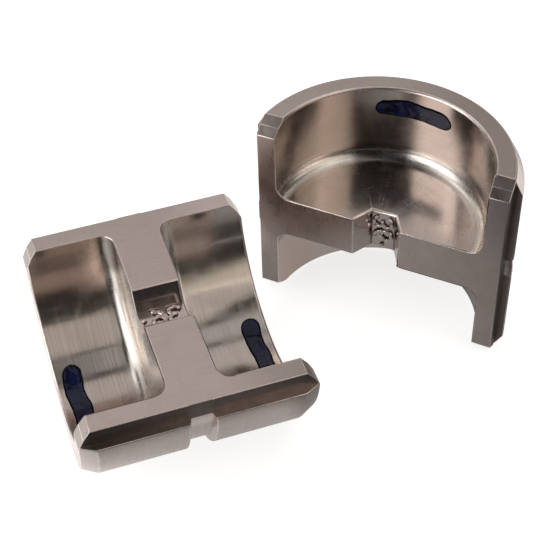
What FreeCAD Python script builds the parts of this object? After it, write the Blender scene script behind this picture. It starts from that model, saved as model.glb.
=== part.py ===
import FreeCAD, Part
import Sketcher
import math
import os

# A two-piece crimp die for a hydraulic crimping head, in millimetres.
# Each half is one solid of hardened steel, turned to a half cylinder, with a D-shaped pocket milled into
# both ends, so that a web is left in the middle. The web carries half of a hexagonal crimping nest.
# One half lies on its round back with its parting face up, and the other stands on its end beside it.

# Every driving dimension, as alias, value and meaning
DRIVING = [
    ("body_length", 38.1, "length of a half along the crimp axis"),
    ("outer_radius", 23.5, "radius of the round back that seats in the head"),
    ("face_inset", 1.5, "how far the parting face's outer edges lie inside the round back, on each side"),
    ("ledge_drop", 3.1, "depth of the ledge beside the parting face"),
    ("end_bevel_axial", 2.6, "end bevel of the round back, along the axis"),
    ("end_bevel_radial", 1.4, "end bevel of the round back, along the radius"),
    ("pocket_wall", 4.9, "steel left between the end pockets and the round back"),
    ("pocket_fillet", 2.4, "fillet between pocket wall and web"),
    ("web_thickness", 8.2, "thickness of the web between the pockets"),
    ("mouth_break", 0.3, "bevel on the rim of the pockets at the end faces"),
    ("edge_break", 0.25, "small bevel along the pocket edges on the parting face and the nest's mouths"),
    ("corner_axial", 2.1, "bevel of the arm ends, along the axis"),
    ("corner_depth", 3.55, "bevel of the arm ends, down from the parting face"),
    ("corner_step_axial", 1.15, "first facet of that bevel, along the axis"),
    ("corner_step_depth", 1.6, "first facet of that bevel, down from the parting face"),
    ("groove_floor", 3.3, "width of the retaining groove at its floor"),
    ("groove_mouth", 4.3, "width of the retaining groove at the round back"),
    ("groove_depth", 1.45, "depth of the retaining groove"),
    ("nest_side", 4.2, "side of the hexagonal nest"),
    ("lower_x", -21.68, "centre of the lying half, along its own crimp axis"),
    ("lower_y", -2.8, "centre of the lying half, across its own crimp axis"),
    ("upper_x", 17.22, "centre of the standing half, in the same direction as lower_x"),
    ("upper_y", 2.6, "centre of the standing half, in the same direction as lower_y"),
    ("upper_turn_deg", 46.9, "turn of the standing half about the vertical, in degrees"),
    ("tool_room", 2.0, "how far a cutting outline runs past the steel it removes"),
]


class Size:
    """A length that keeps both its value and the formula that ties it to the sheet."""

    def __init__(self, value, formula):
        self.value = value
        self.formula = formula

    def combine(self, other, sign, result):
        text = other.formula if isinstance(other, Size) else repr(other)
        return Size(result, "(" + self.formula + " " + sign + " " + text + ")")

    def __add__(self, other):
        return self.combine(other, "+", self.value + number(other))

    def __sub__(self, other):
        return self.combine(other, "-", self.value - number(other))

    def __mul__(self, other):
        return self.combine(other, "*", self.value * number(other))

    def __truediv__(self, other):
        return self.combine(other, "/", self.value / number(other))

    def __neg__(self):
        return Size(-self.value, "(-1 * " + self.formula + ")")


def number(size):
    """The plain number of a Size or of a number."""
    return size.value if isinstance(size, Size) else float(size)


def leg(hypotenuse, side):
    """The other leg of a right triangle, as a Size."""
    value = math.sqrt(hypotenuse.value**2 - side.value**2)
    return Size(value, "sqrt(" + hypotenuse.formula + " ^ 2 - " + side.formula + " ^ 2)")


doc = FreeCAD.newDocument("CrimpDie")
sheet = doc.addObject("Spreadsheet::Sheet", "Sizes")
dim = {}
for row, (alias, value, meaning) in enumerate(DRIVING, start=1):
    sheet.set("A%d" % row, meaning)
    sheet.set("B%d" % row, str(value))
    sheet.setAlias("B%d" % row, alias)
    dim[alias] = Size(value, "Sizes." + alias)
doc.recompute()


def corner(across, up, pinned="xy"):
    """A corner of an outline, and which of its two coordinates the sheet sets."""
    return {"point": (across, up), "pinned": pinned}


def draw_outline(body, name, plane, corners, arcs=None):
    """A closed sketch on a plane of the body: straight edges from corner to corner, and for each index in
    arcs a round edge from that corner to the next, about a centre, with a radius and a sense of turn."""
    arcs = arcs or {}
    sketch = body.newObject("Sketcher::SketchObject", name)
    support = [feature for feature in body.Origin.OriginFeatures if feature.Role == plane]
    sketch.AttachmentSupport = [(support[0], "")]
    sketch.MapMode = "FlatFace"
    places = [FreeCAD.Vector(number(c["point"][0]), number(c["point"][1]), 0) for c in corners]
    count = len(corners)
    starts = {}
    ends = {}
    for index in range(count):
        start = places[index]
        end = places[(index + 1) % count]
        if index in arcs:
            centre, radius, sense = arcs[index]
            middle = FreeCAD.Vector(number(centre[0]), number(centre[1]), 0)
            circle = Part.Circle(middle, FreeCAD.Vector(0, 0, 1), number(radius))
            first, last = (start, end) if sense == "left" else (end, start)
            edge = Part.ArcOfCircle(circle, circle.parameter(first), circle.parameter(last))
            starts[index], ends[index] = (1, 2) if sense == "left" else (2, 1)
        else:
            edge = Part.LineSegment(start, end)
            starts[index], ends[index] = (1, 2)
        sketch.addGeometry(edge, False)
    for index in range(count):
        after = (index + 1) % count
        joint = Sketcher.Constraint("Coincident", index, ends[index], after, starts[after])
        sketch.addConstraint(joint)
    for index, item in enumerate(corners):
        pin(sketch, "corner%d" % index, index, starts[index], item["point"], item["pinned"])
    for index, (centre, radius, sense) in arcs.items():
        pin(sketch, "centre%d" % index, index, 3, centre, "xy")
        which = sketch.addConstraint(Sketcher.Constraint("Radius", index, number(radius)))
        bind(sketch, which, "radius%d" % index, radius)
    doc.recompute()
    return sketch


def bind(sketch, which, name, size):
    """Ties one constraint of a sketch to the sheet."""
    if isinstance(size, Size):
        sketch.renameConstraint(which, name)
        sketch.setExpression("Constraints." + name, size.formula)


def pin(sketch, name, edge, end, point, pinned):
    """Sets the coordinates of one point of an edge: on an axis where they are zero, else by a distance."""
    for letter, size, axis in (("x", point[0], -2), ("y", point[1], -1)):
        if letter not in pinned:
            continue
        if not isinstance(size, Size) and size == 0:
            sketch.addConstraint(Sketcher.Constraint("PointOnObject", edge, end, axis))
            continue
        kind = "DistanceX" if letter == "x" else "DistanceY"
        which = sketch.addConstraint(Sketcher.Constraint(kind, -1, 1, edge, end, number(size)))
        bind(sketch, which, name + letter, size)


def turn_away(body, name, sketch):
    """Removes what the sketch sweeps in a full turn about the crimp axis."""
    groove = body.newObject("PartDesign::Groove", name)
    groove.Profile = sketch
    groove.ReferenceAxis = (sketch, ["H_Axis"])
    groove.Angle = 360
    sketch.Visibility = False
    doc.recompute()
    return groove


def cut_through(body, name, sketch, length):
    """Removes the sketch's outline over a length that lies half on each side of its plane."""
    pocket = body.newObject("PartDesign::Pocket", name)
    pocket.Profile = sketch
    pocket.SideType = "Symmetric"
    pocket.Length = number(length)
    pocket.setExpression("Length", length.formula)
    sketch.Visibility = False
    doc.recompute()
    return pocket


def bevel_edges(body, name, wanted, size):
    """A bevel of one size on every edge of the body's present shape that the test accepts."""
    before = body.Tip
    names = ["Edge%d" % (i + 1) for i, edge in enumerate(before.Shape.Edges) if wanted(edge)]
    bevel = body.newObject("PartDesign::Chamfer", name)
    bevel.Base = (before, names)
    bevel.Size = number(size)
    bevel.setExpression("Size", size.formula)
    doc.recompute()
    return bevel


def build_half(label):
    """One die half in its own frame: crimp axis along X, arms across Y and parting face at Z = 0."""
    room = dim["tool_room"]
    body = doc.addObject("PartDesign::Body", label)
    body.Label = label
    half_length = dim["body_length"] / 2
    back = dim["outer_radius"]
    half_face = back - dim["face_inset"]
    web = dim["web_thickness"] / 2

    # Round back with a ledge beside the parting face
    ledge_edge = leg(back, dim["ledge_drop"])
    section = draw_outline(
        body,
        label + "_section",
        "YZ_Plane",
        [
            corner(-half_face, 0),
            corner(-half_face, -dim["ledge_drop"]),
            corner(-ledge_edge, -dim["ledge_drop"], "y"),
            corner(ledge_edge, -dim["ledge_drop"], "y"),
            corner(half_face, -dim["ledge_drop"]),
            corner(half_face, 0),
        ],
        {2: ((0, 0), back, "left")},
    )
    blank = body.newObject("PartDesign::Pad", label + "_blank")
    blank.Profile = section
    blank.SideType = "Symmetric"
    blank.Length = dim["body_length"].value
    blank.setExpression("Length", dim["body_length"].formula)
    section.Visibility = False
    doc.recompute()

    # Retaining groove round the back
    groove_mouth = dim["groove_mouth"] / 2
    groove_floor = dim["groove_floor"] / 2
    groove = draw_outline(
        body,
        label + "_groove_outline",
        "XY_Plane",
        [
            corner(-groove_mouth, back + room),
            corner(-groove_mouth, back),
            corner(-groove_floor, back - dim["groove_depth"]),
            corner(groove_floor, back - dim["groove_depth"]),
            corner(groove_mouth, back),
            corner(groove_mouth, back + room),
        ],
    )
    turn_away(body, label + "_retaining_groove", groove)

    # Bevel of the round back at one end
    bevel = draw_outline(
        body,
        label + "_end_bevel_outline",
        "XY_Plane",
        [
            corner(half_length - dim["end_bevel_axial"], back),
            corner(half_length, back - dim["end_bevel_radial"]),
            corner(half_length + room, back - dim["end_bevel_radial"]),
            corner(half_length + room, back + room),
            corner(half_length - dim["end_bevel_axial"], back + room),
        ],
    )
    end_bevel = turn_away(body, label + "_end_bevel", bevel)

    # Pocket at the same end, with its filleted floor and its bevelled rim
    wall = back - dim["pocket_wall"]
    fillet = dim["pocket_fillet"]
    pocket_outline = draw_outline(
        body,
        label + "_pocket_outline",
        "XY_Plane",
        [
            corner(web, 0),
            corner(half_length + room, 0),
            corner(half_length + room, wall + dim["mouth_break"]),
            corner(half_length, wall + dim["mouth_break"]),
            corner(half_length - dim["mouth_break"], wall),
            corner(web + fillet, wall, "x"),
            corner(web, wall - fillet, "y"),
        ],
        {5: ((web + fillet, wall - fillet), fillet, "left")},
    )
    pocket = turn_away(body, label + "_pocket", pocket_outline)

    # Two facets that bevel the arm ends, down from the parting face
    first_axial = half_length - dim["corner_axial"]
    arm_corner = draw_outline(
        body,
        label + "_arm_bevel_outline",
        "XZ_Plane",
        [
            corner(first_axial, 0),
            corner(first_axial + dim["corner_step_axial"], -dim["corner_step_depth"]),
            corner(half_length, -dim["corner_depth"]),
            corner(half_length + room, -dim["corner_depth"]),
            corner(half_length + room, room),
            corner(first_axial, room),
        ],
    )
    arm_bevel = cut_through(body, label + "_arm_bevel", arm_corner, back * 2 + room)

    # The other end is the mirror image
    mirror = body.newObject("PartDesign::Mirrored", label + "_other_end")
    mirror.Originals = [end_bevel, pocket, arm_bevel]
    middle = [feature for feature in body.Origin.OriginFeatures if feature.Role == "YZ_Plane"]
    mirror.MirrorPlane = (middle[0], [""])
    body.Tip = mirror
    doc.recompute()

    # Half-hexagon nest through the web
    side = dim["nest_side"]
    slope = math.sin(math.radians(60))
    nest_outline = draw_outline(
        body,
        label + "_nest_outline",
        "YZ_Plane",
        [
            corner(side, room),
            corner(-side, room),
            corner(-side, 0),
            corner(-side / 2, -side * slope),
            corner(side / 2, -side * slope),
            corner(side, 0),
        ],
    )
    cut_through(body, label + "_nest", nest_outline, dim["web_thickness"] + room)

    # One small bevel along the pocket edges on the parting face and on round both mouths of the nest
    reach = dim["nest_side"].value
    inner = wall.value
    half_web = dim["web_thickness"].value / 2

    def borders_pocket(edge):
        box = edge.BoundBox
        on_face = abs(box.ZMin) < 1e-6 and abs(box.ZMax) < 1e-6
        inside = max(abs(box.YMin), abs(box.YMax)) < inner + 1e-3
        along_web = abs(abs(edge.CenterOfMass.x) - half_web) < 1e-3
        along_arm = abs(abs(edge.CenterOfMass.y) - inner) < 1e-3
        round_corner = edge.Curve.TypeId == "Part::GeomCircle"
        return on_face and inside and (along_web or along_arm or round_corner)

    def borders_nest(edge):
        box = edge.BoundBox
        flat = abs(box.XMax - box.XMin) < 1e-6 and abs(abs(box.XMax) - half_web) < 1e-6
        return flat and max(abs(box.YMin), abs(box.YMax)) < reach + 1e-3 and box.ZMin < -1e-6

    def borders_opening(edge):
        return borders_pocket(edge) or borders_nest(edge)

    bevel_edges(body, label + "_edge_break", borders_opening, dim["edge_break"])
    return body


lower = build_half("lower_die_half")
upper = build_half("upper_die_half")

# The lower half lies on its round back.
# The upper half stands on its end, with its parting face turned to the front.
lower.setExpression(
    "Placement",
    "placement(vector(Sizes.lower_x; Sizes.lower_y; Sizes.outer_radius); rotation(vector(0; 0; 1); 0))",
)
upper.setExpression(
    "Placement",
    "placement(vector(Sizes.upper_x; Sizes.upper_y; Sizes.body_length / 2); "
    "rotation(vector(0; 0; 1); Sizes.upper_turn_deg) * rotation(vector(0; 1; 0); -90))",
)
doc.recompute()

for item in doc.Objects:
    if "Invalid" in item.State or "Error" in item.State:
        raise RuntimeError(item.Name + " is " + str(item.State))
for half in (lower, upper):
    if half.Shape.isNull() or not half.Shape.isValid() or len(half.Shape.Solids) != 1:
        raise RuntimeError(half.Label + " isn't one valid solid")
    print(half.Label, round(half.Shape.Volume, 1), half.Shape.BoundBox)

os.makedirs("parts", exist_ok=True)
for half in (lower, upper):
    half.Shape.exportStep("parts/" + half.Label + ".step")
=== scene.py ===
import math

import bmesh
import bpy
import numpy as np
from mathutils import Matrix, Vector


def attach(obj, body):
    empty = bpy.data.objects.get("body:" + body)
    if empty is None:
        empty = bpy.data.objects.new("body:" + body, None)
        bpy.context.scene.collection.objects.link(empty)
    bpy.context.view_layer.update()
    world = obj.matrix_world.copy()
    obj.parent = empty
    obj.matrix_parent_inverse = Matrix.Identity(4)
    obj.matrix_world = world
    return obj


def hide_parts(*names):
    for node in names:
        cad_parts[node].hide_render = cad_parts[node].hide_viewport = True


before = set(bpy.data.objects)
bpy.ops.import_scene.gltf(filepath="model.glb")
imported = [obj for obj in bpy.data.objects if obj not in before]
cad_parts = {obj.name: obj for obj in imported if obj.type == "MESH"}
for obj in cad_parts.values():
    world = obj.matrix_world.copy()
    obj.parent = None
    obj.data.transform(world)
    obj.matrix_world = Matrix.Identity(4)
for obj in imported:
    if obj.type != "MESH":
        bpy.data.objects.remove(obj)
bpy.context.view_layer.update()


# The two die halves, as bare steel
# Each half is a block of hardened tool steel: half of a turned bar, milled flat across the parting face, with
# a ledge along each arm, a pocket bored into each end and half of the hexagon nest across the web. Lengths
# are in millimetres. turn_step is a facet of the turned faces in degrees, and cutters reach past the steel.
mm = 0.001
body_length = 38.1
back_radius = 23.5
face_half_width = 22.0
ledge_drop = 3.1
end_bevel = (2.6, 1.4)
groove_half_widths = (1.65, 2.15)
groove_radius = 22.22
pocket_radius = 18.6
pocket_fillet = 2.4
web_half = 4.1
rim_break = 0.3
arm_bevel = ((2.1, 0.0), (0.95, 1.6), (0.0, 3.55))
nest_side = 4.2
bell_mouth = 0.45
turn_step = 2.0
cutter_reach = 2.0
cutter_half_width = 30.0


def steel_mesh(name, points, faces):
    """A closed mesh of points in millimetres, its coincident points welded and its faces turned outwards."""
    mesh = bpy.data.meshes.new(name)
    mesh.from_pydata(np.asarray(points, float).tolist(), [], [list(f) for f in faces])
    welded = bmesh.new()
    welded.from_mesh(mesh)
    bmesh.ops.remove_doubles(welded, verts=welded.verts, dist=1e-5)
    bmesh.ops.dissolve_degenerate(welded, edges=welded.edges, dist=1e-6)
    bmesh.ops.recalc_face_normals(welded, faces=welded.faces)
    welded.to_mesh(mesh)
    welded.free()
    thing = bpy.data.objects.new(name, mesh)
    bpy.context.scene.collection.objects.link(thing)
    return thing


def grid_faces(rows, columns, closed_rows, closed_columns):
    """The four-cornered faces of a grid of points, whose rows and columns may each run round into a loop."""
    i = np.arange(rows if closed_rows else rows - 1)[:, None]
    j = np.arange(columns if closed_columns else columns - 1)[None, :]
    after_i = (i + 1) % rows
    after_j = (j + 1) % columns
    corners = (i * columns + j, i * columns + after_j, after_i * columns + after_j, after_i * columns + j)
    return np.stack([np.broadcast_to(c, (i.size, j.size)) for c in corners], axis=-1).reshape(-1, 4).tolist()


def carried(name, stations, outlines):
    """An outline across the crimp axis, carried along it: at each station x the outline is points (y, z),
    equally many at every station, and both ends are closed by a cap."""
    across = np.asarray(outlines, float)
    count = across.shape[1]
    along = np.repeat(np.asarray(stations, float), count)
    points = np.column_stack([along, across.reshape(-1, 2)])
    faces = grid_faces(len(stations), count, False, True)
    last = (len(stations) - 1) * count
    caps = [list(range(count)), list(range(last, last + count))]
    return steel_mesh(name, points, faces + caps)


def turned(name, profile):
    """A closed profile of points (x, r), turned a full circle about the crimp axis: at angle a each point is
    (x, r sin a, r cos a)."""
    outline = np.asarray(profile, float)
    angles = np.radians(np.arange(0, 360, turn_step))
    x = np.broadcast_to(outline[:, 0], (angles.size, len(outline)))
    y = np.sin(angles)[:, None] * outline[:, 1]
    z = np.cos(angles)[:, None] * outline[:, 1]
    points = np.stack([x, y, z], axis=-1).reshape(-1, 3)
    return steel_mesh(name, points, grid_faces(angles.size, len(outline), True, True))


def bar_outline(radius):
    """The outline across a half where its round back has this radius: the flat parting face, then down each
    side wall to the ledge at depth d, out to where the circle y^2 + z^2 = r^2 meets it, and round the back.
    Where the circle lies inside the wall, it takes the wall's place."""
    wall_z = -ledge_drop * np.linspace(0, 1, 9) ** 0.8
    wall_y = np.minimum(face_half_width, np.sqrt(radius**2 - wall_z**2))
    first = math.asin(ledge_drop / radius)
    round_angles = np.linspace(first, math.pi - first, int(180 / turn_step) + 1)
    back = np.column_stack([radius * np.cos(round_angles), -radius * np.sin(round_angles)])
    right = np.column_stack([wall_y, wall_z])
    left = np.column_stack([-wall_y, wall_z])[::-1]
    return np.vstack([right, back, left])


def cut_from(block, cutter):
    """The block with the cutter's space milled out of it."""
    cut = block.modifiers.new("cut", "BOOLEAN")
    cut.operation = "DIFFERENCE"
    cut.solver = "EXACT"
    cut.object = cutter
    bpy.context.view_layer.update()
    milled = bpy.data.meshes.new_from_object(block.evaluated_get(bpy.context.evaluated_depsgraph_get()))
    block.modifiers.clear()
    block.data = milled
    bpy.data.objects.remove(cutter)


half_length = body_length / 2
groove_floor, groove_mouth = groove_half_widths
back_stations = [-half_length, -half_length + end_bevel[0], -groove_mouth, -groove_floor]
back_stations += [-x for x in back_stations[::-1]]
back_radii = [back_radius - end_bevel[1], back_radius, back_radius, groove_radius]
back_radii += back_radii[::-1]
half_block = carried("half_block", back_stations, [bar_outline(r) for r in back_radii])

fillet_angles = np.radians(np.linspace(0, 90, 13))
fillet_arc = np.column_stack([
    web_half + pocket_fillet * (1 - np.cos(fillet_angles)),
    pocket_radius - pocket_fillet * (1 - np.sin(fillet_angles)),
])
past_end = half_length + cutter_reach
pocket_profile = np.vstack([
    [[web_half, 0]],
    fillet_arc,
    [[half_length - rim_break, pocket_radius], [half_length, pocket_radius + rim_break]],
    [[past_end, pocket_radius + rim_break], [past_end, 0]],
])
bevel_length, bevel_depth = arm_bevel[0][0], arm_bevel[2][1]
bevel_profile = np.vstack([
    [[half_length - back, -down] for back, down in arm_bevel],
    [[past_end, -bevel_depth], [past_end, cutter_reach], [half_length - bevel_length, cutter_reach]],
])
bevel_corners = np.arange(len(bevel_profile))
bevel_caps = [bevel_corners.tolist(), (bevel_corners + len(bevel_profile)).tolist()]
for end in (1, -1):
    cut_from(half_block, turned("pocket_cutter", pocket_profile * [end, 1]))
    bevel_outline = bevel_profile * [end, 1]
    prism = [[x, y, z] for y in (-cutter_half_width, cutter_half_width) for x, z in bevel_outline]
    prism_sides = grid_faces(2, len(bevel_profile), False, True)
    cut_from(half_block, steel_mesh("arm_bevel_cutter", prism, prism_sides + bevel_caps))

nest_rise = nest_side * math.sin(math.radians(60))
nest_outline = np.array([
    (nest_side, cutter_reach),
    (nest_side, 0),
    (nest_side / 2, -nest_rise),
    (-nest_side / 2, -nest_rise),
    (-nest_side, 0),
    (-nest_side, cutter_reach),
])
bell = np.linspace(0, math.pi / 2, 5)
bell_stations = web_half - bell_mouth * (1 - np.sin(bell))
bell_growth = 1 + bell_mouth * (1 - np.cos(bell)) / nest_rise
past_web = web_half + cutter_reach / 2
nest_stations = np.concatenate([[-past_web], bell_stations, [past_web]])
nest_growth = np.concatenate([[1], bell_growth, [bell_growth[-1]]])
cut_from(half_block, carried("nest_cutter", nest_stations, nest_growth[:, None, None] * nest_outline))


# The steel's finishes
# One hardened steel with six finishes: turned on the round back and the ends, ground on the parting face,
# bored in the pockets, milled along the walls, ledges and arm ends, polished in the nest, and stoned on the
# broken edges, which are painted lighter as a painted highlight.
STEEL = (0.60, 0.515, 0.485)
BORED = (0.61, 0.54, 0.50)
FINISHES = ["turned_back", "ground_face", "bored_pocket", "milled_ledge", "crimp_nest", "broken_edge"]


class Finish:
    """A finish put together from nodes that read where a point lies in its own half, in millimetres: along
    the crimp axis, across the arms and up out of the parting face. angle runs round the crimp axis, in
    radians, and profile, |along| less the radius, runs from the bore's wall over the fillet to the web."""

    def __init__(self, name):
        self.material = bpy.data.materials.new(name)
        self.material.use_nodes = True
        self.nodes = self.material.node_tree.nodes
        self.shader = self.nodes["Principled BSDF"]
        self.shader.inputs["Metallic"].default_value = 1.0
        place = self.nodes.new("ShaderNodeAttribute")
        place.attribute_type = "GEOMETRY"
        place.attribute_name = "own_place"
        scaled = self.nodes.new("ShaderNodeVectorMath")
        scaled.operation = "SCALE"
        self.join(place.outputs["Vector"], scaled.inputs[0])
        scaled.inputs["Scale"].default_value = 1000.0
        split = self.nodes.new("ShaderNodeSeparateXYZ")
        self.join(scaled.outputs["Vector"], split.inputs["Vector"])
        self.along, self.across, self.up = (split.outputs[c] for c in "XYZ")
        self.place = scaled.outputs["Vector"]
        self.angle = self.sum("ARCTAN2", self.across, self.times(self.up, -1.0))
        self.profile = self.less(self.size(self.along), self.reach(self.across, self.up))

    def join(self, source, target):
        self.material.node_tree.links.new(source, target)

    def put(self, value, socket):
        if isinstance(value, (int, float)):
            socket.default_value = value
        else:
            self.join(value, socket)

    def sum(self, operation, *values):
        """One step of arithmetic on numbers or sockets."""
        node = self.nodes.new("ShaderNodeMath")
        node.operation = operation
        for value, socket in zip(values, node.inputs):
            self.put(value, socket)
        return node.outputs[0]

    def times(self, first, *others):
        """The product of all that is given."""
        for other in others:
            first = self.sum("MULTIPLY", first, other)
        return first

    def plus(self, first, *others):
        """The sum of all that is given."""
        for other in others:
            first = self.sum("ADD", first, other)
        return first

    def less(self, a, b):
        return self.sum("SUBTRACT", a, b)

    def size(self, value):
        return self.sum("ABSOLUTE", value)

    def reach(self, a, b):
        """How far the point (a, b) lies from (0, 0): the root of a^2 + b^2."""
        return self.sum("SQRT", self.plus(self.times(a, a), self.times(b, b)))

    def stretched(self, x, y, z=0.0):
        """A point whose three coordinates are given, for a pattern to be read at."""
        node = self.nodes.new("ShaderNodeCombineXYZ")
        for value, socket in zip((x, y, z), node.inputs):
            self.put(value, socket)
        return node.outputs[0]

    def grain(self, point, scale, detail=3.0, roughness=0.6, warp=0.0):
        """Cloudy noise about 0.5, read at a point in millimetres."""
        node = self.nodes.new("ShaderNodeTexNoise")
        self.join(point, node.inputs["Vector"])
        node.inputs["Scale"].default_value = scale
        node.inputs["Detail"].default_value = detail
        node.inputs["Roughness"].default_value = roughness
        node.inputs["Distortion"].default_value = warp
        return node.outputs["Fac"]

    def lines(self, fine, along_lines, density, length, detail=2.0, seed=0.0):
        """Fine marks of a tool: noise packed to a density per millimetre across the marks and drawn out along
        them to a length in millimetres."""
        point = self.stretched(self.times(fine, density), self.sum("DIVIDE", along_lines, length), seed)
        return self.grain(point, 1.0, detail, 0.7)

    def band(self, value, low, high, to_low=0.0, to_high=1.0):
        """A value stretched from one range to another and held at its ends."""
        node = self.nodes.new("ShaderNodeMapRange")
        node.interpolation_type = "SMOOTHSTEP"
        self.put(value, node.inputs["Value"])
        for word, number in (("From Min", low), ("From Max", high), ("To Min", to_low), ("To Max", to_high)):
            node.inputs[word].default_value = number
        return node.outputs["Result"]

    def blend(self, amount, first, second):
        """A colour between two, each of them three numbers or a socket."""
        node = self.nodes.new("ShaderNodeMix")
        node.data_type = "RGBA"
        self.put(amount, node.inputs["Factor"])
        for colour, socket in ((first, node.inputs["A"]), (second, node.inputs["B"])):
            if isinstance(colour, tuple):
                socket.default_value = (*colour, 1.0)
            else:
                self.join(colour, socket)
        return node.outputs["Result"]

    def relief(self, height, depth, strength):
        """Marks cut into the surface, to a depth in metres."""
        node = self.nodes.new("ShaderNodeBump")
        node.inputs["Strength"].default_value = strength
        node.inputs["Distance"].default_value = depth
        self.join(height, node.inputs["Height"])
        return node.outputs["Normal"]

    def wear(self, colour, roughness, normal):
        """Puts the colour, roughness and relief on the shader, and gives the material."""
        self.join(colour, self.shader.inputs["Base Color"])
        self.join(roughness, self.shader.inputs["Roughness"])
        self.join(normal, self.shader.inputs["Normal"])
        return self.material


def toned(colour, level, warmth=0.0):
    """A colour made lighter or darker, and a little warmer where warmth is above 0."""
    return (colour[0] * level * (1 + warmth), colour[1] * level, colour[2] * level * (1 - warmth))


def turned_back():
    """Lathe marks ring the back and the ends, under soft clouds and a slight brown cast. The groove is
    painted brighter up beside the ledges, a painted highlight, and one end face is darker and browner towards
    the near arm."""
    f = Finish("turned_back")
    rings = f.lines(f.profile, f.angle, 4.2, 1.6)
    clouds = f.grain(f.place, 0.16, 3.0, 0.6, 0.4)
    colour = f.blend(f.band(clouds, 0.35, 0.65), toned(STEEL, 0.97, 0.015), toned(STEEL, 1.08))
    colour = f.blend(f.band(rings, 0.38, 0.70, 0.0, 0.12), colour, toned(STEEL, 0.82, 0.02))
    # painted highlight: the groove is painted brighter up beside the ledges
    groove_highlight = f.times(f.band(f.size(f.along), 1.7, 2.0, 0.9, 0.0), f.band(f.up, -6.5, -4.5))
    colour = f.blend(groove_highlight, colour, toned(STEEL, 1.42))
    # one end face turns darker and browner towards the near arm
    near_arm_darkening = f.times(f.band(f.across, -13, 10, 0.80, 0.0), f.band(f.along, 18.8, 18.95))
    colour = f.blend(near_arm_darkening, colour, toned(STEEL, 0.58, 0.03))
    rough = f.plus(f.band(rings, 0.3, 0.7, 0.24, 0.29), f.band(clouds, 0.4, 0.7, 0.0, 0.06))
    return f.wear(colour, rough, f.relief(rings, 0.0000015, 0.4))


def ground_face():
    """The parting face is surface ground: short faint lines along the crimp axis, a few stray scratches
    across them and soft clouds where it has been wiped. Towards one end the near arm is duller and the far
    arm brighter."""
    f = Finish("ground_face")
    grind = f.lines(f.plus(f.across, f.times(f.along, 0.10)), f.along, 5.5, 5.0, 3.0)
    clouds = f.grain(f.place, 0.22, 3.0, 0.55, 0.6)
    slanted = f.less(f.across, f.times(f.along, 0.34))
    scratch = f.band(f.lines(slanted, f.along, 3.0, 7.0, 1.0, 4.7), 0.70, 0.76)
    colour = f.blend(f.band(clouds, 0.32, 0.68), toned(STEEL, 0.98, 0.01), toned(STEEL, 1.08))
    colour = f.blend(f.band(grind, 0.42, 0.75, 0.0, 0.13), colour, toned(STEEL, 0.80, 0.02))
    colour = f.blend(f.times(scratch, 0.04), colour, toned(STEEL, 0.70, 0.03))
    to_end = f.band(f.plus(f.along, f.times(clouds, 8.0)), 7, 20)
    colour = f.blend(f.times(to_end, f.band(f.across, -20, -13, 0.85, 0.0)), colour, toned(STEEL, 0.72, 0.01))
    colour = f.blend(f.times(to_end, f.band(f.across, 13, 20, 0.0, 0.85)), colour, toned(STEEL, 1.32))
    rough = f.plus(f.band(grind, 0.3, 0.7, 0.24, 0.31), f.band(clouds, 0.35, 0.7, 0.0, 0.07))
    return f.wear(colour, rough, f.relief(grind, 0.0000015, 0.4))


def bored_pocket():
    """The boring tool's rings run round the pocket wall and over the web, coarser in the left pocket, broken
    by streaks along the axis where the bore has been wiped. The left pocket has a brown cast of dried oil
    towards the far arm. The fillet at the web's foot is painted lighter than the wall, a painted highlight,
    but for a short span in each pocket that is painted dark, a painted shade across that highlight."""
    f = Finish("bored_pocket")
    rings = f.lines(f.profile, f.angle, 5.0, 0.9, 3.0)
    broad = f.lines(f.profile, f.angle, 0.55, 0.8, 2.0, 3.1)
    coarse = f.lines(f.profile, f.angle, 2.2, 1.4, 2.0, 5.9)
    clouds = f.grain(f.place, 0.20, 4.0, 0.6, 0.8)
    wiped = f.lines(f.times(f.angle, pocket_radius), f.along, 0.5, 14.0, 2.0, 8.3)
    colour = f.blend(f.band(clouds, 0.35, 0.66), toned(BORED, 0.98, 0.02), toned(BORED, 1.06))
    colour = f.blend(f.band(rings, 0.36, 0.68, 0.0, 0.30), colour, toned(BORED, 0.74, 0.01))
    colour = f.blend(f.band(broad, 0.45, 0.70, 0.0, 0.20), colour, toned(BORED, 0.80, 0.02))
    left = f.band(f.along, -6.5, -4.5, 1.0, 0.0)
    colour = f.blend(f.times(f.band(coarse, 0.40, 0.66, 0.0, 0.34), left), colour, toned(BORED, 0.66, 0.03))
    oily = f.times(f.band(f.angle, 0.85, 1.15, 0.0, 0.75), left)
    colour = f.blend(oily, colour, (0.565, 0.435, 0.375))
    rough = f.plus(f.band(rings, 0.3, 0.7, 0.12, 0.18), f.band(clouds, 0.40, 0.70, 0.0, 0.06))
    rough = f.plus(rough, f.band(wiped, 0.45, 0.70, 0.0, 0.04))
    rough = f.plus(rough, f.band(f.size(f.along), 4.15, 4.6, 0.05, 0.0))
    off_fillet = f.size(f.plus(f.profile, pocket_radius - web_half - 0.6 * pocket_fillet + 0.6))
    rough = f.plus(rough, f.band(off_fillet, 0.8, 2.2, 0.08, 0.0))
    # painted highlight: the fillet is painted lighter than the wall
    colour = f.blend(f.band(off_fillet, 0.6, 2.4, 0.85, 0.0), colour, (0.73, 0.675, 0.62))
    # painted shade: a short dark span across the fillet's highlight in each pocket
    right = f.band(f.along, -1.0, 1.0)
    shade_at_left = f.times(f.band(f.angle, 1.12, 1.24), f.less(1.0, right))
    shade_at_right = f.times(f.band(f.angle, 0.0, 0.10), f.band(f.angle, 0.54, 0.66, 1.0, 0.0), right)
    painted_fillet_shade = f.times(f.sum("MAXIMUM", shade_at_left, shade_at_right), f.band(off_fillet, 1.2, 2.6, 0.75, 0.0))
    colour = f.blend(painted_fillet_shade, colour, (0.14, 0.125, 0.115))
    return f.wear(colour, rough, f.relief(rings, 0.000003, 0.35))


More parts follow.
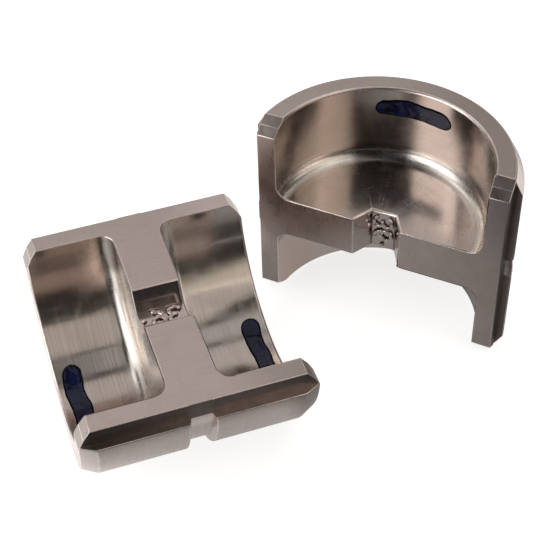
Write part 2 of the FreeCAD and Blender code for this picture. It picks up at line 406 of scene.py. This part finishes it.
def milled_ledge():
    """The walls and ledges along the arms and the bevels at their ends are milled lengthwise and keep a
    darker skin. The walls are darker still towards the left end."""
    f = Finish("milled_ledge")
    strokes = f.lines(f.plus(f.across, f.up), f.along, 4.0, 6.0, 2.0)
    clouds = f.grain(f.place, 0.45, 3.0, 0.6, 0.5)
    colour = f.blend(f.band(clouds, 0.35, 0.65), toned(STEEL, 0.60, 0.03), toned(STEEL, 0.70, 0.01))
    colour = f.blend(f.band(strokes, 0.40, 0.70, 0.0, 0.22), colour, toned(STEEL, 0.50, 0.03))
    on_wall = f.times(f.band(f.up, -3.09, -2.8, 0.62, 1.0), f.band(f.size(f.across), 21.9, 21.99))
    # the walls turn darker towards the left end
    darker_to_left_end = f.times(f.band(f.along, -17, 5, 0.74, 0.0), on_wall)
    colour = f.blend(darker_to_left_end, colour, toned(STEEL, 0.14, 0.04))
    rough = f.plus(f.band(strokes, 0.3, 0.7, 0.26, 0.34), f.band(clouds, 0.4, 0.7, 0.0, 0.05))
    return f.wear(colour, rough, f.relief(strokes, 0.000004, 0.5))


def crimp_nest():
    """The nest is polished by use along the wire, and darker and rougher along its two lower corners."""
    f = Finish("crimp_nest")
    strokes = f.lines(f.plus(f.across, f.times(f.up, 0.7)), f.along, 5.0, 7.0, 2.0)
    clouds = f.grain(f.place, 0.8, 3.0, 0.6, 0.3)
    corner = f.size(f.less(f.size(f.across), 2.1))
    low = f.band(f.up, -3.5, -2.9, 1.0, 0.0)
    # darker and rougher along the two lower corners of the nest
    dark_corners = f.times(f.band(corner, 0.02, 0.22, 1.0, 0.0), low)
    colour = f.blend(f.band(clouds, 0.35, 0.65), toned(STEEL, 1.02, 0.01), toned(STEEL, 1.12))
    colour = f.blend(f.band(strokes, 0.42, 0.70, 0.0, 0.20), colour, toned(STEEL, 0.80, 0.02))
    colour = f.blend(f.times(dark_corners, 0.7), colour, (0.12, 0.10, 0.09))
    rough = f.plus(f.band(clouds, 0.35, 0.7, 0.09, 0.14), f.times(dark_corners, 0.25))
    return f.wear(colour, rough, f.relief(strokes, 0.000002, 0.3))


def broken_edge():
    """The stoned edges are painted lighter than the steel, a painted highlight, a little duller here and
    there.
    """
    f = Finish("broken_edge")
    nicks = f.grain(f.place, 0.9, 3.0, 0.6, 0.2)
    # painted highlight: the edges are painted lighter than the steel
    colour = f.blend(f.band(nicks, 0.45, 0.70), toned(STEEL, 1.45), toned(STEEL, 1.20, 0.01))
    return f.wear(colour, f.band(nicks, 0.35, 0.7, 0.30, 0.38), f.relief(nicks, 0.000005, 0.4))


finish_makers = (turned_back, ground_face, bored_pocket, milled_ledge, crimp_nest, broken_edge)
steel_finishes = [make() for make in finish_makers]


# how far a face's middle may lie from a plane of the shape and still be taken as on it, and with some room
touch = 0.01
slack = 0.05


def finished_faces(block):
    """Gives each face of the block the finish of the surface that it lies on, found from its middle and from
    the way it faces. The faces of the broken edges keep their own."""
    mesh = block.data
    count = len(mesh.polygons)
    middle, facing, kept = np.zeros(count * 3), np.zeros(count * 3), np.zeros(count, int)
    mesh.polygons.foreach_get("center", middle)
    mesh.polygons.foreach_get("normal", facing)
    mesh.polygons.foreach_get("material_index", kept)
    x, y, z = middle.reshape(-1, 3).T
    nx, ny, nz = facing.reshape(-1, 3).T
    radius = np.hypot(y, z)
    finish = np.zeros(count, int)
    in_pocket = (radius < pocket_radius + rim_break) & (np.abs(x) > web_half - touch) & (z < -slack)
    in_pocket &= (ny * y + nz * z < 0.05 * radius) | (np.abs(x) < web_half + pocket_fillet)
    in_pocket &= np.abs(x) < half_length - touch
    finish[in_pocket] = FINISHES.index("bored_pocket")
    finish[(nz > 0.95) & (z > -0.2)] = FINISHES.index("ground_face")
    beside = (np.abs(y) > face_half_width - 0.6) & (z < -slack) & (z > -ledge_drop - slack)
    beside &= (np.abs(nx) < 0.3) & ((np.abs(ny) > 0.9) | (nz > 0.9))
    at_arm_end = (np.abs(x) > half_length - bevel_length - slack) & (z > -bevel_depth - slack)
    at_arm_end &= (nx * np.sign(x) > 0.3) & (nz > 0.25)
    finish[beside | at_arm_end] = FINISHES.index("milled_ledge")
    in_nest = (np.abs(x) < web_half - touch) & (np.abs(y) < nest_side) & (np.abs(nx) < 0.2)
    in_nest &= (z < -slack) & (z > -nest_rise - 2 * slack)
    finish[in_nest] = FINISHES.index("crimp_nest")
    edge = FINISHES.index("broken_edge")
    in_bell = (np.abs(x - web_half + bell_mouth / 2) < bell_mouth / 2 + touch) & (np.abs(y) < nest_side + 0.6)
    in_bell &= (np.abs(nx) > 0.15) & (np.abs(nx) < 0.99) & (z > -nest_rise - bell_mouth - slack)
    finish[(kept == edge) | in_bell] = edge
    mesh.polygons.foreach_set("material_index", finish)
    mesh.update()


# Edges and placing of the halves
# Every outer edge of the steel has been broken with a stone or a fine bevel, which is what catches the light.
# The lower half lies on its round back and the upper half stands on its end.
edge_break = 0.18
web_edge_break = 0.26
arm_end_break = 0.10
ridge_break = 0.07
steel_crease = 34


def break_edges(block):
    """Rounds the convex edges, where two faces turn away from each other by over 25 degrees, and the low
    ridge across each arm's bevel. The long edges of the web are broken wider, those at the arms' ends less,
    and the step at the groove's mouth beside the wall stays as it was cut."""
    edged = bmesh.new()
    edged.from_mesh(block.data)
    weight = edged.edges.layers.float.new("bevel_weight_edge")
    ridge_back, ridge_down = arm_bevel[1]
    for edge in edged.edges:
        a, b = (v.co for v in edge.verts)
        middle = (a + b) / 2
        along, across, up = abs(middle.x), abs(middle.y), middle.z
        on_ridge = abs(along - half_length + ridge_back) < touch and abs(up + ridge_down) < touch
        least = math.radians(8 if on_ridge else 25)
        if len(edge.link_faces) == 2 and edge.is_convex and edge.calc_face_angle(0) > least:
            at_groove_step = along < 2.4 and across > 21.4 and up > -3.3
            on_web = abs(along - web_half) < touch and up > -touch
            at_arm_end = along > half_length - bevel_length - touch and up > -bevel_depth - touch
            width = ridge_break if on_ridge else arm_end_break if at_arm_end else edge_break
            edge[weight] = 0.0 if at_groove_step else 1.0 if on_web else width / web_edge_break
    edged.to_mesh(block.data)
    edged.free()
    rounding = block.modifiers.new("broken_edges", "BEVEL")
    rounding.limit_method = "WEIGHT"
    rounding.width = web_edge_break
    rounding.segments = 3
    rounding.use_clamp_overlap = False
    rounding.harden_normals = False
    rounding.material = FINISHES.index("broken_edge")
    rounding.miter_outer = "MITER_ARC"
    bpy.context.view_layer.update()
    finished = bpy.data.meshes.new_from_object(block.evaluated_get(bpy.context.evaluated_depsgraph_get()))
    block.modifiers.clear()
    block.data = finished


half_block.data.materials.clear()
for finish in steel_finishes:
    half_block.data.materials.append(finish)
half_block.data.polygons.foreach_set("material_index", np.zeros(len(half_block.data.polygons), int))
break_edges(half_block)
finished_faces(half_block)


def in_its_half(source, name, turn, move, crease):
    """A copy of a piece made in the half's own frame, in millimetres, turned and moved in its points to where
    that half lies, in metres. It keeps where each point lay in the half itself. Faces that turn by more than
    the crease, in degrees, meet in a crisp edge, and so do those that meet at the height of the ledges, where
    the wall runs on across the groove."""
    mesh = source.data.copy()
    mesh.name = name
    points = np.zeros(len(mesh.vertices) * 3)
    mesh.vertices.foreach_get("co", points)
    points = points.reshape(-1, 3)
    own_place = mesh.attributes.new("own_place", "FLOAT_VECTOR", "POINT")
    own_place.data.foreach_set("vector", (points * mm).astype(np.float32).ravel())
    mesh.vertices.foreach_set("co", ((points @ turn.T + move) * mm).astype(np.float32).ravel())
    mesh.shade_smooth()
    mesh.set_sharp_from_angle(angle=math.radians(crease))
    ends = np.zeros(len(mesh.edges) * 2, int)
    mesh.edges.foreach_get("vertices", ends)
    level = np.abs(points[ends.reshape(-1, 2), 2] + ledge_drop).max(axis=1) < touch
    crisp = np.zeros(len(mesh.edges), bool)
    mesh.edges.foreach_get("use_edge_sharp", crisp)
    mesh.edges.foreach_set("use_edge_sharp", crisp | level)
    mesh.update()
    piece = bpy.data.objects.new(name, mesh)
    bpy.context.scene.collection.objects.link(piece)
    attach(piece, "root")
    return piece


lower_turn = np.eye(3)
lower_move = np.array([-21.68, -2.8, back_radius])
upper_spin = math.radians(46.9)
upper_turn = np.array([
    [0, -math.sin(upper_spin), -math.cos(upper_spin)],
    [0, math.cos(upper_spin), -math.sin(upper_spin)],
    [1, 0, 0],
])
upper_move = np.array([17.22, 2.6, half_length])
lower_half = in_its_half(half_block, "lower_half", lower_turn, lower_move, steel_crease)
upper_half = in_its_half(half_block, "upper_half", upper_turn, upper_move, steel_crease)
for half, node, slot in ((lower_half, "lower_die_half", "die_steel_lower"),
                         (upper_half, "upper_die_half", "die_steel_upper")):
    even = half.modifiers.new("even_faces", "WEIGHTED_NORMAL")
    even.keep_sharp = True
    even.weight = 100
    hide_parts(node)
bpy.data.objects.remove(half_block)


# The figures in the nests
# Each nest floor carries raised index figures, cut in reverse so that they read true in the crimped sleeve.
# They are plain numbers with a dot beside them, part of the same steel.
figure_lift = 0.50
figure_stroke = 0.34
figure_sink = 0.05
figure_flank = 0.24
figure_scale = (-1.32, 1.26)
figure_crease = 60


def arc_points(middle, radii, start, stop, count=26):
    """Points along an ellipse's arc, from one angle to another in degrees."""
    a = np.radians(np.linspace(start, stop, count))
    return np.column_stack([middle[0] + radii[0] * np.cos(a), middle[1] + radii[1] * np.sin(a)])


upper_bow = arc_points((0.0, 0.62), (0.72, 0.60), 150, -90)
lower_bow = arc_points((0.0, -0.62), (0.80, 0.66), 90, -150)
three = np.vstack([upper_bow, lower_bow])
loop_of_six = arc_points((0.0, -0.52), (0.72, 0.72), 0, 360, 40)
stem_of_six = arc_points((0.55, 0.0), (1.25, 1.25), 185, 95)
six = np.vstack([loop_of_six, stem_of_six])
dot = np.array([[0.0, 0.0], [0.05, 0.02]])
figure_lines = np.vstack([
    three * figure_scale + (2.0, 0.02),
    six * figure_scale + (-0.85, 0.0),
    dot + (-3.25, 0.1),
])

# the figures stand on a patch of the nest's floor, whose height falls off smoothly away from their lines
patch_x = np.linspace(-3.9, 3.5, 134)
patch_y = np.linspace(-2.0, 2.0, 74)
grid_x, grid_y = np.meshgrid(patch_x, patch_y)
apart_x = grid_x[..., None] - figure_lines[:, 0]
apart_y = grid_y[..., None] - figure_lines[:, 1]
to_line = np.sqrt(apart_x**2 + apart_y**2).min(axis=-1)
rise = np.clip((figure_stroke + figure_flank / 2 - to_line) / figure_flank, 0, 1)
uneven = 0.03 * np.sin(5.1 * grid_x + 2.0 * grid_y) + 0.025 * np.sin(8.3 * grid_y - 3.7 * grid_x)
top = -nest_rise - figure_sink + (figure_lift + figure_sink + uneven) * rise**2 * (3 - 2 * rise)
bottom = -nest_rise - figure_sink - 0.1
patch = np.stack([np.pad(grid_x, 1, mode="edge"), np.pad(grid_y, 1, mode="edge"),
                  np.pad(top, 1, constant_values=bottom)], axis=-1)
rows, columns = patch.shape[:2]
numbers = np.arange(rows * columns).reshape(rows, columns)
rim = np.concatenate([numbers[0, :-1], numbers[:-1, -1], numbers[-1, :0:-1], numbers[:0:-1, 0]])
patch_faces = grid_faces(rows, columns, False, False) + [rim.tolist()]
figures = steel_mesh("figures", patch.reshape(-1, 3), patch_faces)


def raised_figures():
    """The figures are painted near black at their roots, a painted shade, and bright on their tops, a painted
    highlight.
    """
    f = Finish("raised_figures")
    pits = f.grain(f.place, 2.6, 4.0, 0.65, 0.3)
    height = f.band(f.up, -nest_rise, -nest_rise + figure_lift, 0.0, 1.0)
    # painted shade at the figures' roots and a painted highlight on their tops
    colour = f.blend(height, (0.05, 0.042, 0.038), toned(STEEL, 1.30))
    colour = f.blend(f.band(pits, 0.42, 0.68, 0.0, 0.30), colour, toned(STEEL, 0.60, 0.02))
    return f.wear(colour, f.band(pits, 0.35, 0.7, 0.10, 0.22), f.relief(pits, 0.00005, 0.6))


figure_finish = raised_figures()
figures.data.materials.append(figure_finish)
lower_figures = in_its_half(figures, "lower_figures", lower_turn, lower_move, figure_crease)
upper_figures = in_its_half(figures, "upper_figures", upper_turn, upper_move, figure_crease)
bpy.data.objects.remove(figures)


# The pen marks
# Thick navy strokes of paint pen run round the pocket walls and tell the two dies of a set from others. The
# paint stands over a tenth of a millimetre off the steel, fuller along its edge, where it has pooled and
# dried darker.
paint_height = 0.16
paint_sink = 0.06
paint_gloss = 0.36
paint_crease = 60
stroke_end = 1.7
stroke_corners = 40


def pen_mark(name, path, turn, move, phase):
    """A stroke along a pocket wall. Its path is rows of angle round the crimp axis in degrees, place along
    the axis and half width. At each place u along it, the cross-section is a closed loop s = cos t, whose
    upper half lies above the wall and whose lower half lies just inside it; both ends are round."""
    angle, place, half_width = np.asarray(path, float).T
    run = pocket_radius * np.radians(angle)
    share = [np.linspace(0, 0.16, 14)[:-1], np.linspace(0.16, 0.84, 46)[:-1], np.linspace(0.84, 1, 14)]
    u = run[0] + (run[-1] - run[0]) * np.concatenate(share)
    wander = 1 + 0.025 * np.sin(1.1 * u + phase) + 0.012 * np.sin(2.9 * u + 2 * phase)
    full = np.interp(u, run, half_width) * wander
    nearest_end = np.minimum(u - run[0], run[-1] - u)
    ends = np.sqrt(np.clip(1 - (1 - np.clip(nearest_end / stroke_end, 0, 1)) ** 2, 0, 1))
    middle = np.interp(u, run, place) + 0.07 * np.sin(0.9 * u + phase)
    t = np.linspace(0, 2 * math.pi, stroke_corners, endpoint=False)
    s, over = np.cos(t), np.sin(t)
    above = over > 0
    pooled = 0.35 * np.exp(-(((np.abs(s) - 0.86) / 0.10) ** 2))
    crown = paint_height * (np.abs(over) ** 0.5 * 0.75 + pooled * (over > 0.05))
    loop = np.where(above, crown, paint_sink * over)
    wet = 1 + 0.16 * np.sin(0.8 * u + phase) * np.cos(1.7 * u)
    lift = loop[None, :] * np.where(above[None, :], (ends**0.5 * wet)[:, None], 1.0)
    x = middle[:, None] + (full * ends)[:, None] * s[None, :]
    a = (u / pocket_radius)[:, None]
    r = pocket_radius - lift
    points = np.stack([x, -r * np.sin(a), -r * np.cos(a)], axis=-1)
    corners = np.arange(stroke_corners)
    caps = [corners.tolist(), (corners + (len(u) - 1) * stroke_corners).tolist()]
    faces = grid_faces(len(u), stroke_corners, False, True) + caps
    stroke = steel_mesh(name + "_stroke", points.reshape(-1, 3), faces)
    stroke.data.materials.append(navy_paint)
    stroke_points = np.zeros(len(stroke.data.vertices) * 3)
    stroke.data.vertices.foreach_get("co", stroke_points)
    px, py, pz = stroke_points.reshape(-1, 3).T
    p_run = pocket_radius * np.arctan2(-py, -pz)
    p_wide = np.interp(p_run, u, full * ends)
    inward = np.minimum(p_wide - np.abs(px - np.interp(p_run, u, middle)), np.interp(p_run, u, nearest_end))
    from_rim = stroke.data.attributes.new("from_rim", "FLOAT", "POINT")
    from_rim.data.foreach_set("value", np.clip(inward, 0, 5).astype(np.float32))
    in_its_half(stroke, name, turn, move, paint_crease)
    bpy.data.objects.remove(stroke)


def dried_paint():
    """Glossy navy paint: even in the middle, near black where it has pooled, with small dull dry spots."""
    f = Finish("navy_paint")
    f.shader.inputs["Metallic"].default_value = 0.0
    rim = f.nodes.new("ShaderNodeAttribute")
    rim.attribute_type = "GEOMETRY"
    rim.attribute_name = "from_rim"
    pooled = f.grain(f.place, 0.55, 1.6, 0.5, 0.4)
    spots = f.grain(f.place, 1.9, 3.0, 0.6, 0.0)
    edge = f.band(rim.outputs["Fac"], 0.16, 0.40, 1.0, 0.0)
    colour = f.blend(f.band(pooled, 0.34, 0.66), (0.003, 0.004, 0.018), (0.006, 0.009, 0.045))
    colour = f.blend(edge, colour, (0.0015, 0.0015, 0.003))
    gloss = f.shader.inputs["Specular IOR Level"]
    gloss.default_value = paint_gloss
    f.join(f.times(f.less(1.0, edge), paint_gloss), gloss)
    rough = f.plus(f.band(spots, 0.40, 0.70, 0.07, 0.16), f.times(edge, 0.25))
    return f.wear(colour, rough, f.relief(pooled, 0.00022, 0.6))


navy_paint = dried_paint()
left_mark = [
    (-23.6, -15.75, 1.55), (-17, -16.0, 1.67), (-7, -16.1, 1.70),
    (3.5, -15.75, 1.70), (12, -15.7, 1.65), (20.5, -15.8, 1.6),
]
right_mark = [
    (-23.6, 16.1, 1.65), (-17, 16.03, 1.69), (-6, 15.94, 1.55),
    (2, 16.23, 1.52), (10.6, 16.26, 1.5), (20.5, 16.2, 1.5),
]
upper_mark = [
    (-23.0, 14.9, 1.45), (-18, 15.1, 1.5), (-12, 15.05, 1.75), (-5, 15.1, 1.75),
    (4, 14.95, 1.68), (12, 14.75, 1.7), (17, 14.7, 1.6), (20.6, 14.65, 1.3),
]
pen_mark("pen_mark_lower_left", left_mark, lower_turn, lower_move, 0.4)
pen_mark("pen_mark_lower_right", right_mark, lower_turn, lower_move, 2.1)
pen_mark("pen_mark_upper", upper_mark, upper_turn, upper_move, 3.6)


# The view of the photograph
# A long lens from the front and above, turned slightly to the right.
camera = bpy.data.cameras.new("view")
camera.sensor_width = 36
camera.lens = 88.75
camera.clip_start = 0.01
camera.clip_end = 10
eye = bpy.data.objects.new("view", camera)
bpy.context.scene.collection.objects.link(eye)
right = np.array([0.9488, -0.3149, -0.0255])
down = np.array([-0.2386, -0.6614, -0.7110])
ahead = np.cross(right, down)
down = np.cross(ahead, right)
axes = [v / np.linalg.norm(v) for v in (right, -down, -ahead)]
eye_place = (-0.048203, -0.149920, 0.176540)
eye.matrix_world = Matrix.Translation(eye_place) @ Matrix(np.array(axes).T.tolist()).to_4x4()
bpy.context.scene.camera = eye


# The studio
# A white floor in a dim room, with broad soft lights all round, strongest on the left. Two dark cards are
# seen only in the steel: one lies on the floor before the dies and between them, a painted shade on the
# floor as the steel sees it, and one stands in front of the upper half.
paper_glow = 0.76
floor_mesh = bpy.data.meshes.new("floor")
floor_mesh.from_pydata([(-2, -2, 0), (2, -2, 0), (2, 2, 0), (-2, 2, 0)], [], [(0, 1, 2, 3)])
floor = bpy.data.objects.new("floor", floor_mesh)
bpy.context.scene.collection.objects.link(floor)
paper = bpy.data.materials.new("white_paper")
paper.use_nodes = True
paper_nodes, paper_links = paper.node_tree.nodes, paper.node_tree.links
paper_shader = paper_nodes["Principled BSDF"]
paper_shader.inputs["Base Color"].default_value = (0.66, 0.66, 0.66, 1)
paper_shader.inputs["Roughness"].default_value = 0.9
paper_shader.inputs["Specular IOR Level"].default_value = 0.0
paper_shader.inputs["Emission Color"].default_value = (1, 1, 1, 1)
ray = paper_nodes.new("ShaderNodeLightPath")
seen = ray.outputs["Is Camera Ray"]
for kind in ("Is Glossy Ray", "Is Transmission Ray"):
    either = paper_nodes.new("ShaderNodeMath")
    either.operation = "MAXIMUM"
    paper_links.new(seen, either.inputs[0])
    paper_links.new(ray.outputs[kind], either.inputs[1])
    seen = either.outputs[0]
whiter = paper_nodes.new("ShaderNodeMath")
whiter.operation = "MULTIPLY"
whiter.inputs[1].default_value = paper_glow
paper_links.new(seen, whiter.inputs[0])
paper_links.new(whiter.outputs[0], paper_shader.inputs["Emission Strength"])
floor_mesh.materials.append(paper)


def dark_card(name, corners, density):
    """A matt black card that is seen only in the steel. How dense it is at a place is worked out from where
    that lies in the studio, in millimetres: along is to the right and across is away from the viewer."""
    mesh = bpy.data.meshes.new(name)
    mesh.from_pydata((np.array(corners) * mm).tolist(), [], [(0, 1, 2, 3)])
    own_place = mesh.attributes.new("own_place", "FLOAT_VECTOR", "POINT")
    own_place.data.foreach_set("vector", (np.array(corners) * mm).astype(np.float32).ravel())
    f = Finish(name)
    f.shader.inputs["Metallic"].default_value = 0.0
    f.shader.inputs["Base Color"].default_value = (0.01, 0.01, 0.01, 1.0)
    f.shader.inputs["Roughness"].default_value = 1.0
    f.shader.inputs["Specular IOR Level"].default_value = 0.0
    f.join(density(f), f.shader.inputs["Alpha"])
    mesh.materials.append(f.material)
    card = bpy.data.objects.new(name, mesh)
    bpy.context.scene.collection.objects.link(card)
    for kind in ("camera", "diffuse", "transmission", "volume_scatter", "shadow"):
        setattr(card, "visible_" + kind, False)


def away_from_dies(f):
    """The floor card is a painted shadow on the floor as the steel sees it. It is dense in front of the
    halves and between them, and thins out near the lower half's foot, behind both and far to the right."""
    upper_middle, lower_middle, lower_half_length = (17.2, 2.6), (-21.7, -2.8), 19.0
    right_of, behind = f.less(f.along, upper_middle[0]), f.less(f.across, upper_middle[1])
    from_upper = f.reach(right_of, behind)
    beyond_end = f.less(f.size(f.less(f.along, lower_middle[0])), lower_half_length)
    from_lower = f.reach(f.sum("MAXIMUM", beyond_end, 0.0), f.less(f.across, lower_middle[1]))
    nearest = f.sum("MINIMUM", from_upper, from_lower)
    by_lower = f.plus(f.band(from_lower, 26, 32, 0.50, 0.70), f.band(from_lower, 32, 44, 0.0, 0.24))
    by_upper = f.plus(f.band(nearest, 12, 22, 0.68, 0.76), f.band(nearest, 22, 44, 0.0, 0.19))
    side = f.band(f.plus(f.along, f.times(f.sum("MAXIMUM", f.across, 0.0), 0.6)), -6, 0)
    dense = f.plus(f.times(by_upper, side), f.times(by_lower, f.less(1.0, side)))
    in_front = f.band(f.less(f.times(f.along, 0.5), f.times(f.across, 0.87)), -15, 10)
    to_right = f.times(f.band(f.along, 60, 120), f.band(f.plus(f.across, f.times(f.along, 0.25)), -20, 20))
    in_front = f.times(in_front, f.less(1.0, to_right))
    before_face = f.plus(f.times(right_of, -0.683), f.times(behind, -0.730))
    # painted shadow round the upper half's foot, where the floor's glow is not shaded
    under = f.band(from_upper, 18, 24, 0.6, 0.0)
    facing = f.sum("MAXIMUM", f.band(before_face, -4, 2), under)
    between = f.times(f.band(from_upper, 28, 38, 1.0, 0.0), facing)
    return f.times(dense, f.sum("MAXIMUM", in_front, between))


def soft_sided(f):
    """The standing card fades out all round. Its plane runs along (0.883, -0.469)."""
    sideways = f.less(f.times(f.along, 0.883), f.times(f.across, 0.469))
    wide = f.times(f.band(sideways, 2.6, 6.6), f.band(sideways, 29.0, 36.0, 1.0, 0.0))
    tall = f.times(f.band(f.up, 44, 52), f.band(f.up, 330, 400, 1.0, 0.0))
    return f.times(wide, tall)


floor_corners = [(-600, -600, 0.1), (600, -600, 0.1), (600, 600, 0.1), (-600, 600, 0.1)]
standing_corners = [(-2.1, -9.5, 44), (28.0, -25.5, 44), (28.0, -25.5, 400), (-2.1, -9.5, 400)]
dark_card("floor_card", floor_corners, away_from_dies)
dark_card("standing_card", standing_corners, soft_sided)

aim_height = 0.02


def light_panel(name, bearing, height, wide, tall, brightness, distance=1.0, tint=(1.0, 1.0, 1.0)):
    """A flat soft light that faces the dies. Bearing is clockwise from straight behind them and height is
    above the floor, both in degrees. Distances are in metres. At a brightness of 1 it looks white: its power
    is pi times area times that."""
    lamp = bpy.data.lights.new(name, "AREA")
    lamp.shape = "RECTANGLE"
    lamp.size, lamp.size_y = wide, tall
    lamp.energy = math.pi * wide * tall * brightness
    lamp.color = tint
    light = bpy.data.objects.new(name, lamp)
    b, h = math.radians(bearing), math.radians(height)
    outward = Vector((math.sin(b) * math.cos(h), math.cos(b) * math.cos(h), math.sin(h)))
    light.location = Vector((0, 0, aim_height)) + outward * distance
    light.rotation_euler = outward.to_track_quat("Z", "Y").to_euler()
    bpy.context.scene.collection.objects.link(light)
    return light


light_panel("panel_behind", 12, 52, 1.05, 0.43, 0.58, 0.6, (1.0, 0.96, 0.93))
light_panel("panel_behind_right", 40, 21, 0.46, 0.30, 0.35)
light_panel("panel_above", 90, 76, 0.42, 0.47, 0.52)
light_panel("panel_over_viewer", 166, 59, 0.9, 0.60, 0.56, tint=(1.0, 0.95, 0.89))
light_panel("panel_left", -91, 30, 0.82, 0.72, 1.9)
light_panel("panel_left_low", -84, 13, 1.7, 0.42, 0.9)
light_panel("panel_left_high", -52, 57, 0.62, 0.34, 1.0)
light_panel("panel_left_front", -119, 20, 0.38, 0.42, 1.15)
light_panel("panel_front_right", 138, 34, 1.02, 0.50, 0.8, tint=(1.0, 0.94, 0.82))
light_panel("panel_right_high", 115, 61, 0.62, 0.34, 0.6, tint=(1.0, 0.95, 0.89))
fill = light_panel("floor_fill", 0, 90, 1.6, 1.6, 0.30, 1.3)
fill.visible_glossy = False

world = bpy.data.worlds.new("studio")
bpy.context.scene.world = world
world.use_nodes = True
world.node_tree.nodes["Background"].inputs["Color"].default_value = (0.035, 0.035, 0.035, 1)
world.node_tree.nodes["Background"].inputs["Strength"].default_value = 1.0

bpy.context.scene.view_settings.view_transform = "Standard"
